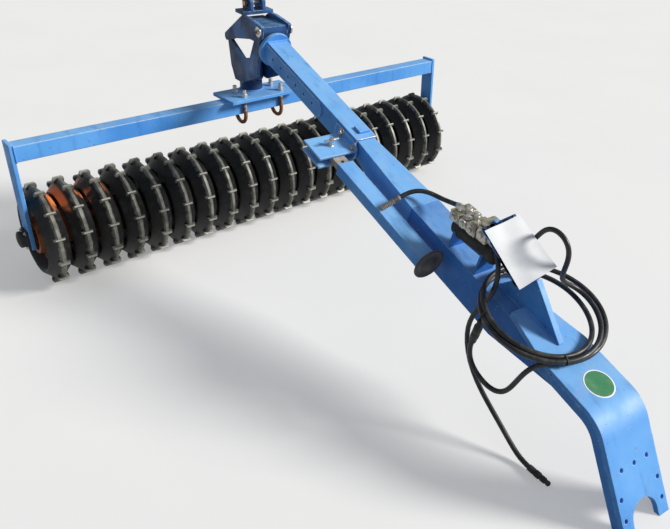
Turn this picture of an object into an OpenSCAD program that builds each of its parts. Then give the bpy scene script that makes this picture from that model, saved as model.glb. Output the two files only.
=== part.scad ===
// Ring packer on a long drop arm: a press roller of cast rings carried under a beam,
// swivelling on a king post behind a sloping arm that ends in a bolt-on curved hitch plate.
// X runs along the beam, -Y points to the hitch plate, Z is up, the ground is z = 0.

/* [Roller] */
// Number of packer rings
ring_count = 20; // [4:2:24]
// Distance from one ring to the next
ring_pitch = 153; // [130:1:180]
// Radius out to the tips of the lugs
lug_radius = 300; // [260:1:340]
// Lugs around one ring
lug_count = 12; // [10:1:16]
// Length of a lug across the rim
lug_length = 66; // [60:1:90]
// Thickness of a lug along the rim
lug_thickness = 14; // [8:1:24]
// Height of a lug above the rim's crest
lug_height = 12; // [11:1:24]
// Width of the rim at its crest
rim_crown = 10; // [6:1:20]
// Width of the rim at its root
rim_root = 58; // [42:1:60]
// Depth of the rim from crest to root
rim_depth = 58; // [40:1:70]
// Thickness of the web between rim and hub
web_thickness = 18; // [12:1:30]
// Windows cast through the web of a ring
web_windows = 6; // [4:1:7]
// Radius of one window
window_radius = 36; // [20:1:42]
// Radius of the tube through the rings
tube_radius = 84; // [70:1:90]
// Wall of the hub around the tube
hub_wall = 20; // [12:1:24]
// Length of a hub along the tube
hub_length = 120; // [60:1:128]
// Radius of the stub shafts
shaft_radius = 30; // [22:1:40]

/* [Press frame] */
// Side of the square beam
beam_size = 90; // [70:1:110]
// Wall of the beam
beam_wall = 8; // [5:1:12]
// Height of the beam's centre above the ground
beam_height = 810; // [780:1:815]
// Gap between the last ring and the end plate
end_gap = 42; // [30:1:90]
// Thickness of the end plates
end_plate = 20; // [12:1:30]
// Distance of the roller's axis behind the beam's centre
roller_back = 20; // [0:1:40]
// Width of the clamp plate along the beam
clamp_width = 500; // [380:1:540]
// Depth of the clamp plate across the beam
clamp_depth = 245; // [230:1:300]
// Thickness of the clamp plate
clamp_thickness = 20; // [15:1:24]
// Diameter of the clamp's round steel
u_bolt_d = 24; // [16:1:28]
// Distance between the clamp's two bolts
u_bolt_spacing = 270; // [240:1:310]

/* [Swivel head] */
// Distance of the king post behind the beam's centre
king_back = 80; // [60:1:90]
// Outer radius of the king post
king_radius = 72; // [60:1:78]
// Radius of the king pin
king_pin_radius = 35; // [28:1:42]
// Height of the king post's top above the clamp plate
king_top = 65; // [40:1:75]
// Thickness of the yoke's cheeks
cheek_thickness = 20; // [12:1:26]
// Clear width between the cheeks
cheek_gap = 160; // [150:1:180]
// Height of the cheeks' tops above the flange's centre
cheek_top = 166; // [155:1:190]
// Height of the upper clevis above the cheeks
clevis_height = 115; // [90:1:150]

/* [Arm] */
// Angle by which the arm stands off square as parked
swing = 5; // [0:1:15]
// Slope of the arm below level
arm_slope = 17; // [15:0.5:19]
// Distance of the arm's round flange ahead of the king post
flange_ahead = 345; // [335:1:360]
// Height of the flange's centre above the ground
flange_height = 1210; // [1195:1:1220]
// Radius of the flange
flange_radius = 104; // [96:1:112]
// Thickness of the flange
flange_thickness = 22; // [16:1:30]
// Radius of the trunnion behind the flange
trunnion_radius = 40; // [30:1:45]
// Width of the arm
arm_width = 124; // [110:1:140]
// Depth of the arm
arm_depth = 120; // [110:1:130]
// Wall of the arm's tube
arm_wall = 10; // [6:1:14]
// Length of the arm's rear tube
rear_length = 995; // [960:1:1040]
// Width of the deep front box
front_width = 170; // [150:1:180]
// Depth of the front box
front_depth = 190; // [170:1:220]

/* [Hitch plate] */
// Width of the hitch plate
hitch_width = 277; // [250:1:320]
// Thickness of the hitch plate
hitch_thickness = 24; // [16:1:30]
// Depth of the walls under the plate's edges
hitch_wall_depth = 62; // [50:1:80]
// Steep slope of the plate's bolting face
face_slope = 61.5; // [58:0.5:66]
// Radius of the bend above the bolting face
bend_radius = 195; // [170:1:220]
// Radius of the bolt holes
bolt_hole = 10; // [7:0.5:13]
// Radius of the arched notch between the plate's feet
notch_radius = 75; // [60:1:85]

/* [Stand] */
// Length of the stowed leg
stand_length = 750; // [660:1:790]
// Width of the leg
stand_width = 90; // [70:1:96]
// Depth of the leg
stand_depth = 64; // [50:1:70]
// Radius of the foot disc
foot_radius = 82; // [60:1:84]

/* [Hidden] */
$fn = 48;

// Small room between pieces that turn on or slide into one another
fit = 0.05;
seat = 0.3;
running_gap = 6;
// Larger than the whole, for cuts that open to one side
far = 4000;

// Roller: a pair of lugs of every ring stands on the ground
lug_step = 360 / lug_count;
lug_reach = sqrt(pow(lug_radius, 2) - pow(lug_thickness / 2, 2));
lug_chamfer = 8;
lug_root = 6;
axis_height = lug_reach * cos(lug_step / 2) + lug_thickness / 2 * sin(lug_step / 2);
ring_span = (ring_count - 1) * ring_pitch;
inner_width = ring_span + lug_length + 2 * end_gap;
tube_recess = 20;
tube_wall = 12;

// Press frame
beam_top = beam_height + beam_size / 2;
plate_rise = 10;
plate_drop = 55;
shaft_room = 8;
shaft_stub = 30;
bearing_length = 42;
bearing_radius = 48;
bearing_base = [104, 84, 14];
clamp_top = beam_top + clamp_thickness;
clamp_shift = 12;
u_bolt_room = 2;
u_bolt_leg = (beam_size + u_bolt_d) / 2 + u_bolt_room;
u_bolt_drop = 8;
u_bolt_rise = 46;
nut_height = 22;

// Swivel head, outlines as distances ahead of the king pin and heights: its foot follows the king post, its
// head the arm's flange
king_level = clamp_top + king_top;
yoke_foot = king_level + running_gap;
pin_height = 90;
housing_wall = 22;
housing_length = 235;
trunnion_length = 215;
head_rear = 60;
head_front = 370;
head_foot = flange_height + 30;
head_top = flange_height + 135;
cheek_level = flange_height + cheek_top;
cheek_nose = [400, flange_height + 120];
cheek_toe = [250, yoke_foot + 69];
cheek_waist = [-64, yoke_foot + 84];
bulge = [-105, flange_height - 10];
bulge_radius = 25;
// Window in a cheek: distance ahead, level from the flange's centre
WINDOW = [[-36, -18], [16, 2], [285, 52], [205, -80], [139, -106]];
clevis_ahead = 105;
clevis_gap = 60;
clevis_width = 110;
clevis_pin_radius = 16;
head_pin_at = [352, flange_height + 110];
head_pin_radius = 14;
washer_radius = 30;
washer = 8;

// Arm, in distances along its slope from the flange and levels above its axis
rear_end = flange_thickness + rear_length;
socket_depth = 200;
side_plate = 10;
side_plate_length = 600;
side_holes = 6;
side_hole_radius = 12;
inner_width_arm = arm_width - 2 * arm_wall - 2 * seat;
inner_depth_arm = arm_depth - 2 * arm_wall - 2 * seat;
taper_length = 543;
box_start = rear_end + taper_length;
box_level = inner_depth_arm / 2;
box_foot = box_level - front_depth;

// Hitch plate
plate_level = box_level + hitch_thickness;
plate_start = 2310;
flare_end = 2560;
bend_ahead = 2828;
bend_angle = face_slope - arm_slope;
bend_steps = 16;
bend_centre = [bend_ahead, plate_level - bend_radius];
face_start = bend_centre + bend_radius * [sin(bend_angle), cos(bend_angle)];
face_length = arm_height(face_start) / sin(face_slope);
face_run = face_length + hitch_wall_depth;
hitch_reach = arm_ahead(face_start) + face_length * cos(face_slope);
hitch_wall = 10;
notch_drop = 40;
// Bolt holes of the face: place across, distance down the face
BOLT_HOLES = [[-78, 141], [0, 141], [78, 141], [-114, 251], [114, 251], [-114, 341], [114, 341]];

// Under the plate the box ends in a raked nose
nose_rake = 60;
nose_depth = 70;
nose_foot = 2250;
gusset_rear = 2140;
gusset_peak = 2311;
gusset_rise = 190;
gusset_crest = 30;
gusset_foot = 2541;
gusset_thickness = 16;

// Stowed stand leg, pinned between the two ears of a bracket on the arm
stand_offset = 172;
stand_level = -28;
tongue_thickness = 36;
tongue_width = 70;
tongue_hole = 10;
ear = 12;
ear_room = 2;
ear_back = 67;
ear_ahead = rear_end - ear_back;
ear_length = 170;
ear_outer = 285;
bracket_length = 165;
bracket_front = rear_end - 22;
bracket_rear = bracket_front - bracket_length;
bracket_top = 45;
lug_pin_radius = 13;
lug_pin_rise = 45;
tongue_length = 150;
stand_start = ear_ahead + tongue_length;
foot_thickness = 10;

// Accumulator and valve on the box, both tipped up ahead
pack_tilt = 8;
acc_start = 1800;
acc_length = 310;
acc_radius = 45;
acc_level = 135;
acc_across = -20;
saddle = 12;
saddle_inset = 60;
valve_size = [110, 176, 55];
valve_head = [96, 64, 105];

// Hoses: routes as places across the arm, along it and above its axis, chosen by hand
hose_radius = 13;
hose_sides = 10;
fitting_radius = 14;
fitting_length = 112;
fitting_rise = 23;
fitting_start = [-215, 1490, 23];
HOSE_FEED = [[-111, 1490, 67], [-66, 1492, 86], [-20, 1515, 100], [15, 1570, 108], [30, 1640, 130], [25, 1720, 172],
    [10, 1784, 208]];
HOSE_TOP = [[5, 2032, 240], [20, 2066, 246], [70, 2108, 268], [102, 2145, 318], [108, 2178, 378], [111, 2222, 412],
    [113, 2270, 406], [115, 2308, 366], [120, 2330, 300], [145, 2355, 228], [195, 2390, 170], [268, 2442, 139]];
HOSE_HANG = [[-45, 2032, 240], [-58, 2068, 247], [-84, 2138, 262], [-103, 2192, 225], [-107, 2206, 150],
    [-108, 2202, 85], [-114, 2180, 10], [-142, 2165, -75], [-163, 2185, -152], [-178, 2270, -265],
    [-186, 2410, -325], [-189, 2545, -352], [-190, 2670, -398], [-191, 2735, -407], [-192, 2790, -393]];
HOSE_SHORT = [[-240, 2290, -77], [-240, 2295, -112], [-240, 2335, -165], [-240, 2412, -188], [-236, 2488, -166],
    [-215, 2545, -100], [-178, 2566, -10], [-167, 2564, 71]];
// Thin room between a hose's end and what it joins
hose_joint = 0.8;
coil_centre = [20, 2380];
coil_radius = 262;
coil_thickness = 26;
coupler_radius = 20;
coupler_length = plate_level - seat - hose_joint - HOSE_SHORT[0][2];
coupling_radius = 16;
coupling_length = 120;

// The whole stands with its box centred over the origin
front_y = king_back - hitch_reach * cos(swing) - hitch_width / 2 * sin(swing);
rear_reach = max([for (i = [0 : lug_count - 1]) let (a = (i + 0.5) * lug_step)
    lug_reach * sin(a) + lug_thickness / 2 * abs(cos(a))]);
rear_y = roller_back + max(rear_reach, lug_radius - lug_height);
centre_y = (front_y + rear_y) / 2;

paint = [0.24, 0.56, 0.92];
dark_paint = [0.16, 0.4, 0.75];
cast = [0.13, 0.13, 0.14];
steel = [0.6, 0.6, 0.6];
rust = [0.45, 0.25, 0.15];
black = [0.08, 0.08, 0.08];

// Distance ahead of the king pin and height of a point of the arm: distance along it, level above its axis
function arm_ahead(p) = flange_ahead + p[0] * cos(arm_slope) + p[1] * sin(arm_slope);
function arm_height(p) = flange_height - p[0] * sin(arm_slope) + p[1] * cos(arm_slope);

module on_ground() {
    translate([0, -centre_y, 0]) children();
}

module at_roller() {
    on_ground() translate([0, roller_back, axis_height]) children();
}

// Arm's own upright frame: origin on the ground under the king pin, -Y ahead
module at_king() {
    on_ground() translate([0, king_back, 0]) rotate([0, 0, -swing]) children();
}

// Arm's sloping frame: origin at the flange's centre, -Y down along the arm
module along_arm() {
    at_king() translate([0, -flange_ahead, flange_height]) rotate([arm_slope, 0, 0]) children();
}

// Outlines drawn as (distance ahead, height), given a width across the arm
module across(width) {
    rotate([90, 0, -90]) linear_extrude(height = width, center = true) children();
}

// Outlines drawn as (place across, distance ahead), given the full height
module in_plan() {
    mirror([0, 1, 0]) linear_extrude(height = far, center = true) children();
}

module ring() {
    rim_radius = lug_radius - lug_height;
    root_radius = rim_radius - rim_depth;
    flank_radius = root_radius + web_thickness / 2;
    hub_radius = tube_radius + hub_wall;
    window_orbit = (root_radius + hub_radius) / 2;
    difference() {
        union() {
            rotate([0, 90, 0]) rotate_extrude() polygon([
                [tube_radius + seat, -hub_length / 2], [hub_radius, -hub_length / 2],
                [hub_radius, -web_thickness / 2], [root_radius, -web_thickness / 2],
                [flank_radius, -rim_root / 2], [rim_radius, -rim_crown / 2],
                [rim_radius, rim_crown / 2], [flank_radius, rim_root / 2],
                [root_radius, web_thickness / 2], [hub_radius, web_thickness / 2],
                [hub_radius, hub_length / 2], [tube_radius + seat, hub_length / 2]]);
            for (i = [0 : lug_count - 1])
                rotate([i * lug_step, 0, 0]) rotate([90, 0, 0])
                    linear_extrude(height = lug_thickness, center = true) polygon([
                        [-rim_root / 2 + lug_root, flank_radius + lug_root / 2],
                        [-lug_length / 2, lug_reach - lug_chamfer],
                        [-lug_length / 2 + lug_chamfer, lug_reach], [lug_length / 2 - lug_chamfer, lug_reach],
                        [lug_length / 2, lug_reach - lug_chamfer],
                        [rim_root / 2 - lug_root, flank_radius + lug_root / 2]]);
        }
        for (i = [0 : web_windows - 1])
            rotate([i * 360 / web_windows, 0, 0]) translate([-web_thickness, 0, window_orbit])
                rotate([0, 90, 0]) cylinder(h = 2 * web_thickness, r = window_radius);
    }
}

module rings() {
    color(cast) at_roller()
        for (i = [0 : ring_count - 1])
            translate([i * ring_pitch - ring_span / 2, 0, 0]) rotate([180 + lug_step / 2, 0, 0]) ring();
}

module roller_tube() {
    tube_length = ring_span + lug_length;
    shaft_length = inner_width + 2 * end_plate + 2 * shaft_stub;
    color(rust) at_roller() rotate([0, 90, 0]) {
        difference() {
            cylinder(h = tube_length, r = tube_radius, center = true);
            for (side = [-1, 1]) translate([0, 0, side * tube_length / 2])
                cylinder(h = 2 * tube_recess, r = tube_radius - tube_wall, center = true);
        }
        cylinder(h = shaft_length, r = shaft_radius, center = true);
    }
}

module beam() {
    hollow = beam_size - 2 * beam_wall;
    color(paint) on_ground() translate([0, 0, beam_height]) difference() {
        cube([inner_width, beam_size, beam_size], center = true);
        cube([inner_width + 2 * seat, hollow, hollow], center = true);
    }
}

module end_plates() {
    plate_bottom = axis_height - plate_drop;
    color(paint) on_ground() for (side = [-1, 1])
        translate([side * (inner_width + end_plate) / 2, 0, 0]) difference() {
            translate([-end_plate / 2, -beam_size / 2, plate_bottom])
                cube([end_plate, beam_size + roller_back, beam_top + plate_rise - plate_bottom]);
            translate([0, roller_back, axis_height]) rotate([0, 90, 0])
                cylinder(h = 2 * end_plate, r = shaft_radius + shaft_room, center = true);
        }
}

module bearings() {
    color(black) at_roller() for (side = [-1, 1])
        translate([side * (inner_width / 2 + end_plate), 0, 0]) rotate([0, 90 * side, 0]) difference() {
            union() {
                translate([-bearing_base[0] / 2, -bearing_base[1] / 2, 0]) cube(bearing_base);
                cylinder(h = bearing_length, r = bearing_radius);
            }
            translate([0, 0, -seat]) cylinder(h = shaft_stub + 2 * seat, r = shaft_radius + fit);
        }
}

module clamp_plate() {
    color(paint) on_ground() difference() {
        translate([-clamp_width / 2, clamp_shift - clamp_depth / 2, beam_top])
            cube([clamp_width, clamp_depth, clamp_thickness]);
        for (x = [-1, 1], y = [-1, 1])
            translate([x * u_bolt_spacing / 2, y * u_bolt_leg, beam_top - seat])
                cylinder(h = clamp_thickness + 2 * seat, r = u_bolt_d / 2 + seat);
    }
}

module u_bolts() {
    leg_bottom = beam_height - beam_size / 2 - u_bolt_drop;
    leg_top = clamp_top + u_bolt_rise;
    color(steel) on_ground() for (x = [-1, 1]) translate([x * u_bolt_spacing / 2, 0, 0]) {
        for (y = [-1, 1]) translate([0, y * u_bolt_leg, 0]) {
            translate([0, 0, leg_bottom]) cylinder(h = leg_top - leg_bottom, r = u_bolt_d / 2);
            translate([0, 0, clamp_top]) cylinder(h = nut_height, r = u_bolt_d * 0.85, $fn = 6);
        }
        translate([0, 0, leg_bottom]) rotate([0, 90, 0]) rotate([0, 0, -90]) rotate_extrude(angle = 180)
            translate([u_bolt_leg, 0]) circle(d = u_bolt_d);
    }
}

module king_post() {
    color(dark_paint) on_ground() translate([0, king_back, clamp_top]) {
        cylinder(h = king_top, r = king_radius);
        cylinder(h = king_top + pin_height, r = king_pin_radius);
    }
}

// Room of the arm's flange, which the swivel head keeps clear of
module ahead_of_flange() {
    along_arm() translate([-far / 2, running_gap - far, -far / 2]) cube(far);
}

module yoke_body() {
    color(dark_paint) difference() {
        union() {
            at_king() translate([0, 0, yoke_foot])
                cylinder(h = pin_height - running_gap + housing_wall, r = cheek_gap / 2);
            at_king() translate([-cheek_gap / 2, -head_front, head_foot])
                cube([cheek_gap, head_front - head_rear, head_top - head_foot]);
            along_arm() rotate([-90, 0, 0])
                cylinder(h = running_gap + housing_length, r = trunnion_radius + housing_wall);
        }
        at_king() translate([0, 0, king_level]) cylinder(h = pin_height + seat, r = king_pin_radius + fit);
        along_arm() rotate([-90, 0, 0]) cylinder(h = trunnion_length + seat, r = trunnion_radius + fit);
        head_pin_bore();
        ahead_of_flange();
    }
}

module head_pin_bore() {
    at_king() translate([0, -head_pin_at[0], head_pin_at[1]]) rotate([0, 90, 0])
        cylinder(h = far, r = head_pin_radius + fit, center = true);
}

// Cheek with a bulge behind, a window and a lower edge that rises ahead to the flange
module yoke_cheeks() {
    color(paint) difference() {
        at_king() for (side = [-1, 1])
            translate([side * (cheek_gap + cheek_thickness) / 2, 0, 0]) across(cheek_thickness) difference() {
                union() {
                    polygon([[king_radius, yoke_foot], cheek_toe, [cheek_nose[0], cheek_toe[1] + cheek_nose[0] / 4],
                        cheek_nose, [cheek_nose[0] - bulge_radius, cheek_nose[1] + bulge_radius],
                        [head_rear + cheek_gap, cheek_level], [head_rear + cheek_gap / 2, cheek_level],
                        bulge + bulge_radius * [-0.6, 0.8], bulge + bulge_radius * [0.8, -0.6],
                        cheek_waist, [-cheek_thickness, yoke_foot]]);
                    translate(bulge) circle(r = bulge_radius);
                }
                translate([0, flange_height]) polygon(WINDOW);
            }
        head_pin_bore();
        ahead_of_flange();
    }
}

module yoke_clevis() {
    eye_height = clevis_height - clevis_width / 2;
    color(dark_paint) at_king() translate([0, -clevis_ahead, cheek_level]) {
        translate([-cheek_gap / 2 - cheek_thickness, -clevis_width / 2, 0])
            cube([cheek_gap + 2 * cheek_thickness, clevis_width, cheek_thickness]);
        for (side = [-1, 1])
            translate([side * (clevis_gap + cheek_thickness) / 2, 0, 0]) difference() {
                union() {
                    translate([-cheek_thickness / 2, -clevis_width / 2, 0])
                        cube([cheek_thickness, clevis_width, eye_height]);
                    translate([0, 0, eye_height]) rotate([0, 90, 0])
                        cylinder(h = cheek_thickness, r = clevis_width / 2, center = true);
                }
                translate([0, 0, eye_height]) rotate([0, 90, 0])
                    cylinder(h = 2 * cheek_thickness, r = clevis_pin_radius + fit, center = true);
            }
    }
}

module clevis_pin() {
    color(steel) at_king() translate([0, -clevis_ahead, cheek_level + clevis_height - clevis_width / 2])
        rotate([0, 90, 0]) cylinder(h = clevis_gap + 4 * cheek_thickness, r = clevis_pin_radius, center = true);
}

// Cross pin of the head with a washer outside each cheek
module head_pin() {
    half = cheek_gap / 2 + cheek_thickness;
    color(steel) at_king() translate([0, -head_pin_at[0], head_pin_at[1]]) rotate([0, 90, 0]) {
        cylinder(h = 2 * (half + 2 * washer), r = head_pin_radius, center = true);
        for (side = [-1, 1]) translate([0, 0, side * (half + washer / 2)])
            cylinder(h = washer, r = washer_radius, center = true);
    }
}

module arm_flange() {
    color(paint) along_arm() {
        rotate([90, 0, 0]) cylinder(h = flange_thickness, r = flange_radius);
        rotate([-90, 0, 0]) cylinder(h = trunnion_length, r = trunnion_radius);
    }
}

module arm_rear() {
    color(paint) along_arm() translate([0, -flange_thickness - rear_length / 2, 0]) difference() {
        cube([arm_width, rear_length, arm_depth], center = true);
        cube([arm_width - 2 * arm_wall, rear_length + 2 * seat, arm_depth - 2 * arm_wall], center = true);
    }
}

module arm_side_plates() {
    plate_depth = arm_depth - 2 * side_plate;
    color(paint) along_arm() for (side = [-1, 1])
        translate([side * (arm_width + side_plate) / 2, -flange_thickness, 0]) across(side_plate) difference() {
            union() {
                translate([0, -plate_depth / 2]) square([side_plate_length, plate_depth]);
                translate([side_plate_length, 0]) circle(d = plate_depth);
            }
            for (i = [1 : side_holes])
                translate([i * side_plate_length / (side_holes + 0.5), 0]) circle(r = side_hole_radius);
        }
}

// Front arm: seated in the rear tube, then growing wider and deeper up to the box
module arm_front() {
    socket_start = rear_end - socket_depth;
    slim = inner_width_arm / 2;
    wide = front_width / 2;
    color(paint) along_arm() intersection() {
        in_plan() polygon([[-slim, socket_start], [slim, socket_start], [slim, rear_end], [wide, box_start],
            [-wide, box_start], [-slim, rear_end]]);
        across(2 * front_width) polygon([[socket_start, box_level], [box_start, box_level], [box_start, box_foot],
            [rear_end, -box_level], [socket_start, -box_level]]);
    }
}

module front_box() {
    color(dark_paint) along_arm() across(front_width) polygon([[box_start, box_level],
        [bend_ahead - seat, box_level], [bend_ahead - nose_rake, box_level - nose_depth],
        [nose_foot, box_foot], [box_start, box_foot]]);
}

// Plate's line at a depth under its outer face: a straight rear, one bend, the steep bolting face
function plate_line(start, depth) = concat(
    [[start, plate_level - depth]],
    [for (i = [0 : bend_steps]) bend_point(bend_angle * i / bend_steps, depth)],
    [bend_point(bend_angle, depth) + face_run * [cos(bend_angle), -sin(bend_angle)]]);
function bend_point(angle, depth) = bend_centre + (bend_radius - depth) * [sin(angle), cos(angle)];
function reversed(list) = [for (i = [len(list) - 1 : -1 : 0]) list[i]];

module hitch_outline(start, from, to) {
    polygon(concat(plate_line(start, from), reversed(plate_line(start, to))));
}

// Frame of the bolting face: origin at the bend's end, X across, -Y down the face, Z out of it
module on_face() {
    along_arm() translate([0, -face_start[0], face_start[1]]) rotate([bend_angle, 0, 0]) children();
}

module below_ground() {
    translate([0, 0, -far / 2]) cube(far, center = true);
}

// Curved plate that flares from the box's width, with an arched notch between its two feet
module hitch_plate() {
    notch_at = face_length - notch_drop;
    color(paint) difference() {
        along_arm() intersection() {
            across(hitch_width) hitch_outline(plate_start, 0, hitch_thickness);
            in_plan() polygon([[-front_width / 2, plate_start], [front_width / 2, plate_start],
                [hitch_width / 2, flare_end], [hitch_width / 2, far], [-hitch_width / 2, far],
                [-hitch_width / 2, flare_end]]);
        }
        for (hole = BOLT_HOLES) on_face() translate([hole[0], -hole[1], -hitch_thickness - seat])
            cylinder(h = hitch_thickness + 2 * seat, r = bolt_hole);
        on_face() translate([0, -notch_at, -2 * hitch_thickness]) {
            cylinder(h = 3 * hitch_thickness, r = notch_radius);
            translate([-notch_radius, -face_length, 0]) cube([2 * notch_radius, face_length, 3 * hitch_thickness]);
        }
        below_ground();
    }
}

module hitch_walls() {
    color(dark_paint) difference() {
        along_arm() for (side = [-1, 1]) translate([side * (hitch_width - hitch_wall) / 2, 0, 0])
            across(hitch_wall) hitch_outline(flare_end, hitch_thickness, hitch_wall_depth);
        below_ground();
    }
}

module gusset() {
    color(paint) along_arm() across(gusset_thickness) polygon([[gusset_rear, box_level],
        [gusset_peak - gusset_crest, box_level + gusset_rise], [gusset_peak, box_level + gusset_rise],
        [gusset_foot, plate_level], [plate_start, plate_level], [plate_start, box_level]]);
}

// Bracket on the arm's left side: a plate with a rounded end and two ears for the stand's pin
module lug_bracket() {
    ear_top = stand_level + tongue_thickness / 2 + ear_room;
    ear_low = stand_level - tongue_thickness / 2 - ear_room - ear;
    bracket_depth = bracket_top - ear_low;
    color(paint) along_arm() difference() {
        union() {
            translate([-(arm_width + side_plate) / 2, 0, 0]) across(side_plate) {
                translate([bracket_rear, ear_low]) square([bracket_front - bracket_rear, bracket_depth]);
                translate([bracket_front, ear_low + bracket_depth / 2]) circle(d = bracket_depth);
            }
            for (level = [ear_top, ear_low]) translate([-ear_outer, -ear_ahead - ear_length / 2, level])
                cube([ear_outer - arm_width / 2 - side_plate / 2, ear_length, ear]);
        }
        translate([-stand_offset, -ear_ahead, ear_low - seat])
            cylinder(h = ear_top - ear_low + ear + 2 * seat, r = lug_pin_radius + fit);
    }
}

module lug_pin() {
    color(steel) along_arm() translate([-stand_offset, -ear_ahead, stand_level])
        cylinder(h = tongue_thickness + 2 * (ear + lug_pin_rise), r = lug_pin_radius, center = true);
}

// Drilled flat tongue by which the leg hangs on its pin
module stand_tongue() {
    color(rust) along_arm() translate([-stand_offset, -ear_ahead, stand_level]) difference() {
        union() {
            cylinder(h = tongue_thickness, r = tongue_width / 2, center = true);
            translate([-tongue_width / 2, ear_ahead - stand_start, -tongue_thickness / 2])
                cube([tongue_width, stand_start - ear_ahead, tongue_thickness]);
        }
        cylinder(h = 2 * tongue_thickness, r = lug_pin_radius + fit, center = true);
        translate([0, ear_ahead - stand_start + tongue_width / 2 - tongue_hole, 0])
            cylinder(h = 2 * tongue_thickness, r = tongue_hole, center = true);
    }
}

module stand_leg() {
    color(paint) along_arm() translate([-stand_offset, -stand_start - stand_length / 2, stand_level])
        cube([stand_width, stand_length, stand_depth], center = true);
}

module stand_foot() {
    color(black) along_arm() translate([-stand_offset, -stand_start - stand_length, stand_level])
        rotate([90, 0, 0]) cylinder(h = foot_thickness, r = foot_radius);
}

// Frame of the accumulator: origin at its rear end, -Y along it
module on_pack() {
    along_arm() translate([acc_across, -acc_start, acc_level]) rotate([-pack_tilt, 0, 0]) children();
}

module accumulator() {
    color(black) on_pack() rotate([90, 0, 0]) cylinder(h = acc_length, r = acc_radius);
}

module acc_saddle() {
    color(dark_paint) difference() {
        along_arm() for (t = [saddle_inset, acc_length - saddle_inset])
            translate([acc_across - acc_radius - saddle, -acc_start - t, box_level])
                cube([2 * (acc_radius + saddle), saddle, acc_level + (t - 2 * saddle) * tan(pack_tilt) - box_level]);
        on_pack() rotate([90, 0, 0]) translate([0, 0, -acc_length])
            cylinder(h = 3 * acc_length, r = acc_radius);
    }
}

module valve_block() {
    color(steel) on_pack() translate([0, -valve_size[1], acc_radius]) {
        translate([-valve_size[0] / 2, 0, 0]) cube(valve_size);
        translate([-valve_head[0] / 2, -valve_head[1], 0]) cube(valve_head);
    }
}

// Threaded end of the feed hose, lying across over the stowed leg
module hose_fitting() {
    color(rust) along_arm() translate([fitting_start[0], -fitting_start[1], fitting_start[2]])
        rotate([0, 90 - fitting_rise, 0]) cylinder(h = fitting_length, r = fitting_radius);
}

// Route smoothed to two rings a stretch, each ring square to the route
function bent(p0, p1, p2, p3, s) = ((2 * p1) + (p2 - p0) * s + (2 * p0 - 5 * p1 + 4 * p2 - p3) * s * s
    + (3 * p1 - p0 - 3 * p2 + p3) * s * s * s) / 2;
function route(points) = let (last = len(points) - 1) concat([for (i = [0 : last - 1], s = [0, 0.5])
    bent(points[max(i - 1, 0)], points[i], points[i + 1], points[min(i + 2, last)], s)], [points[last]]);
function unit(v) = v / norm(v);
function heading(path, i) = unit(path[min(i + 1, len(path) - 1)] - path[max(i - 1, 0)]);
function hoop(centre, along, side) = let (a = unit(cross(along, side)), b = cross(along, a))
    [for (k = [0 : hose_sides - 1]) let (turn = 360 * k / hose_sides)
        centre + hose_radius * (a * cos(turn) + b * sin(turn))];

module hose(points, side) {
    path = [for (p = route(points)) [p[0], -p[1], p[2]]];
    last = len(path) - 1;
    color(black) along_arm() polyhedron(
        points = [for (i = [0 : last]) each hoop(path[i], heading(path, i), side)],
        faces = concat([[for (k = [hose_sides - 1 : -1 : 0]) k]],
            [for (i = [0 : last - 1], k = [0 : hose_sides - 1]) let (n = (k + 1) % hose_sides)
                [i * hose_sides + k, i * hose_sides + n, (i + 1) * hose_sides + n, (i + 1) * hose_sides + k]],
            [[for (k = [0 : hose_sides - 1]) last * hose_sides + k]]));
}

module hose_feed() {
    hose(HOSE_FEED, [0, 0, 1]);
}

module hose_top() {
    hose(HOSE_TOP, [1, 0.2, 0]);
}

module hose_hang() {
    hose(HOSE_HANG, [1, 0, 0]);
}

module hose_short() {
    hose(HOSE_SHORT, [1, 0, 0]);
}

// Bundle of coiled hose laid round the gusset on the plate
module hose_coil() {
    color(black) along_arm() translate([coil_centre[0], -coil_centre[1], plate_level + coil_thickness])
        rotate_extrude() translate([coil_radius, 0]) circle(r = coil_thickness);
}

// Coupler that hangs under the coil, and the coupling on the ground at the long hose's end
module couplings() {
    top = HOSE_SHORT[0];
    end = HOSE_HANG[len(HOSE_HANG) - 1];
    color(black) along_arm() translate([top[0], -top[1], top[2] + hose_joint])
        cylinder(h = coupler_length, r = coupler_radius);
    color(steel) at_king() translate([end[0], -arm_ahead([end[1], end[2]]) - hose_joint, arm_height([end[1], end[2]])])
        rotate([90, 0, 0]) cylinder(h = coupling_length, r = coupling_radius);
}

rings();
roller_tube();
beam();
end_plates();
bearings();
clamp_plate();
u_bolts();
king_post();
yoke_body();
yoke_cheeks();
yoke_clevis();
clevis_pin();
head_pin();
arm_flange();
arm_rear();
arm_side_plates();
arm_front();
front_box();
hitch_plate();
hitch_walls();
gusset();
lug_bracket();
lug_pin();
stand_tongue();
stand_leg();
stand_foot();
accumulator();
acc_saddle();
valve_block();
hose_fitting();
hose_feed();
hose_top();
hose_hang();
hose_short();
hose_coil();
couplings();
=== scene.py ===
"""Looks of a ring packer on a drop arm: worn blue paint, black rings with bright crests, hoses and small fittings."""

import math
import random

import bmesh
import bpy
from mathutils import Matrix, Vector


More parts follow.
